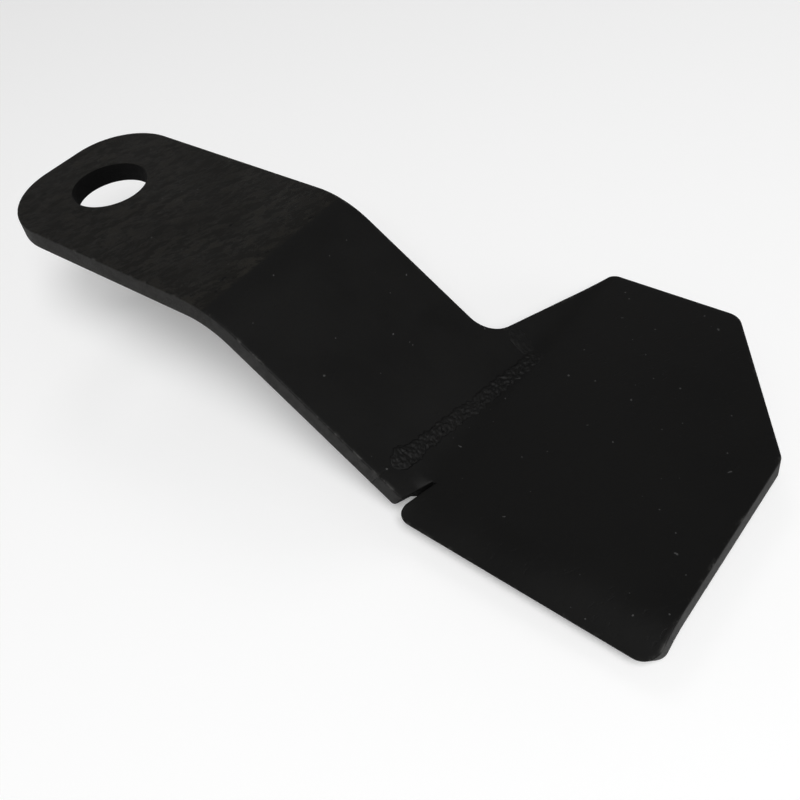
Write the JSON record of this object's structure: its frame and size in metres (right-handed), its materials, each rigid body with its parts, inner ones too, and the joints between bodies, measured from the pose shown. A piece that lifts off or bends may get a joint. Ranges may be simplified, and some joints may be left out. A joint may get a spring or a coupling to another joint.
{
  "type": "swinging spreader hammer",
  "caption": "Joggled flat-bar hammer with a plain pivot eye and a wide welded paddle with one rolled lip, for a swinging spreader rotor.",
  "frame": {"origin": "centre of the pivot hole at the eye's upper face", "axes": "+X along the arm from the pivot eye towards the paddle, +Y towards the paddle's wing, +Z out of the eye's upper face, along the pivot pin"},
  "size_m": [0.3088, 0.1492, 0.0688],
  "materials": {
    "black_paint": "satin",
    "weld_paint": "satin"
  },
  "bodies": {
    "root": {"arm": "black_paint", "paddle": "black_paint", "top_weld": "weld_paint", "return_weld": "weld_paint", "root_weld": "weld_paint"}
  },
  "joints": []
}
